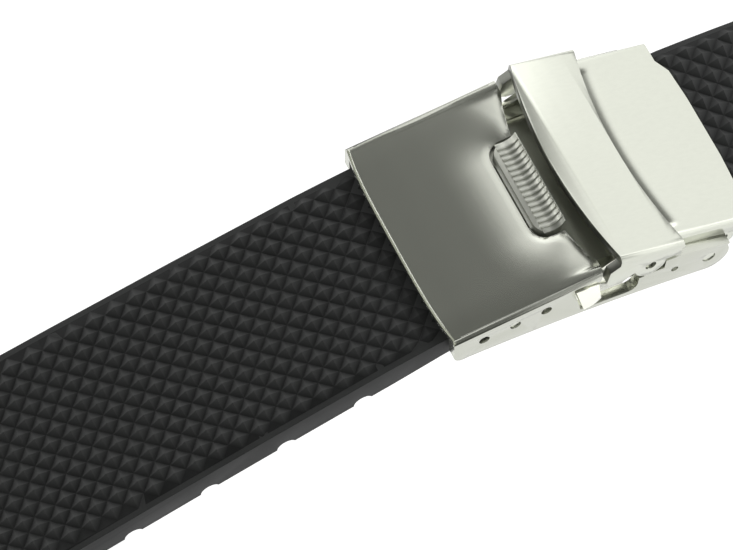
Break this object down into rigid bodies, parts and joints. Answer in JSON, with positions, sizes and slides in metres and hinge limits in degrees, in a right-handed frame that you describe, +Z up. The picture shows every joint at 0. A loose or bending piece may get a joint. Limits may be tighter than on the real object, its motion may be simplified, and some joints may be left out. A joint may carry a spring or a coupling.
{
  "type": "watch strap",
  "caption": "Black patterned rubber watch strap with a folding steel clasp, closed, with push buttons, a safety flap and spring bars at both lug ends.",
  "frame": {"origin": "middle of the footprint on the ground that both lug ends stand on", "axes": "+X along the strap to the end of the short strap, +Y across it to its rear edge, +Z up out of the clasp cover"},
  "size_m": [0.1734, 0.024, 0.0292],
  "materials": {
    "strap_rubber": "matt moulded black rubber with a slight sheen",
    "satin_steel": "satin stainless steel, brushed along the strap",
    "blade_steel": "plain stainless sheet",
    "pad_steel": "ribbed stainless steel",
    "spring_steel": "drawn spring wire",
    "bar_steel": "turned and polished stainless pin"
  },
  "bodies": {
    "cover": {"cover": "satin_steel", "thumb_pad": "pad_steel", "flap_pin": "bar_steel", "cover_hinge_pin": "bar_steel", "button_spring_front": "spring_steel", "button_spring_rear": "spring_steel"},
    "safety_flap": {"safety_flap": "satin_steel"},
    "button_front": {"button_front": "satin_steel"},
    "button_rear": {"button_rear": "satin_steel"},
    "middle_blade": {"middle_blade": "blade_steel"},
    "lower_blade": {"lower_blade": "blade_steel", "catch_post": "blade_steel", "blade_hinge_pin": "bar_steel"},
    "strap_long": {"strap_long": "strap_rubber", "long_bar_tube": "bar_steel", "long_bar_spring": "spring_steel", "long_lug_sleeve": "bar_steel", "long_lug_tube": "bar_steel", "long_lug_spring": "spring_steel"},
    "strap_short": {"strap_short": "strap_rubber", "short_bar_tube": "bar_steel", "short_bar_spring": "spring_steel", "short_lug_sleeve": "bar_steel", "short_lug_tube": "bar_steel", "short_lug_spring": "spring_steel"},
    "long_bar_tip_front": {"long_bar_tip_front": "bar_steel"},
    "long_bar_tip_rear": {"long_bar_tip_rear": "bar_steel"},
    "long_lug_tip_front": {"long_lug_tip_front": "bar_steel"},
    "long_lug_tip_rear": {"long_lug_tip_rear": "bar_steel"},
    "short_bar_tip_front": {"short_bar_tip_front": "bar_steel"},
    "short_bar_tip_rear": {"short_bar_tip_rear": "bar_steel"},
    "short_lug_tip_front": {"short_lug_tip_front": "bar_steel"},
    "short_lug_tip_rear": {"short_lug_tip_rear": "bar_steel"}
  },
  "joints": [
    {"name": "flap_hinge", "type": "hinge", "parent": "cover", "child": "safety_flap", "pos_m": [0.00956, 0, 0.02522], "axis": [0, -1, 0], "range_deg": [0, 45]},
    {"name": "button_front_slide", "type": "slide", "parent": "cover", "child": "button_front", "axis": [0, 1, 0], "range_m": [0, 0.0008], "stiffness_N_per_m": 300, "springref_m": -0.0005},
    {"name": "button_rear_slide", "type": "slide", "parent": "cover", "child": "button_rear", "axis": [0, -1, 0], "range_m": [0, 0.0008], "stiffness_N_per_m": 300, "springref_m": -0.0005},
    {"name": "cover_hinge", "type": "hinge", "parent": "cover", "child": "middle_blade", "pos_m": [0.01558, 0, 0.0217], "axis": [0, -1, 0], "range_deg": [0, 150]},
    {"name": "blade_hinge", "type": "hinge", "parent": "middle_blade", "child": "lower_blade", "pos_m": [-0.00129, 0, 0.02131], "axis": [0, 1, 0], "range_deg": [0, 150]},
    {"name": "long_bar_hinge", "type": "hinge", "parent": "cover", "child": "strap_long", "pos_m": [-0.00373, 0, 0.02481], "axis": [0, -1, 0], "range_deg": [-6, 45]},
    {"name": "short_bar_hinge", "type": "hinge", "parent": "lower_blade", "child": "strap_short", "pos_m": [0.0178, 0, 0.02093], "axis": [0, 1, 0], "range_deg": [-8, 60]},
    {"name": "long_bar_tip_front_slide", "type": "slide", "parent": "strap_long", "child": "long_bar_tip_front", "axis": [0, 1, 0], "range_m": [0, 0.001], "stiffness_N_per_m": 300, "springref_m": -0.0005},
    {"name": "long_bar_tip_rear_slide", "type": "slide", "parent": "strap_long", "child": "long_bar_tip_rear", "axis": [0, -1, 0], "range_m": [0, 0.001], "stiffness_N_per_m": 300, "springref_m": -0.0005},
    {"name": "long_lug_tip_front_slide", "type": "slide", "parent": "strap_long", "child": "long_lug_tip_front", "axis": [0, 1, 0], "range_m": [0, 0.001], "stiffness_N_per_m": 300, "springref_m": -0.0005},
    {"name": "long_lug_tip_rear_slide", "type": "slide", "parent": "strap_long", "child": "long_lug_tip_rear", "axis": [0, -1, 0], "range_m": [0, 0.001], "stiffness_N_per_m": 300, "springref_m": -0.0005},
    {"name": "short_bar_tip_front_slide", "type": "slide", "parent": "strap_short", "child": "short_bar_tip_front", "axis": [0, 1, 0], "range_m": [0, 0.001], "stiffness_N_per_m": 300, "springref_m": -0.0005},
    {"name": "short_bar_tip_rear_slide", "type": "slide", "parent": "strap_short", "child": "short_bar_tip_rear", "axis": [0, -1, 0], "range_m": [0, 0.001], "stiffness_N_per_m": 300, "springref_m": -0.0005},
    {"name": "short_lug_tip_front_slide", "type": "slide", "parent": "strap_short", "child": "short_lug_tip_front", "axis": [0, 1, 0], "range_m": [0, 0.001], "stiffness_N_per_m": 300, "springref_m": -0.0005},
    {"name": "short_lug_tip_rear_slide", "type": "slide", "parent": "strap_short", "child": "short_lug_tip_rear", "axis": [0, -1, 0], "range_m": [0, 0.001], "stiffness_N_per_m": 300, "springref_m": -0.0005}
  ],
  "couplings": [
    {"joint": "blade_hinge", "follows": "cover_hinge", "ratio": 1}
  ]
}
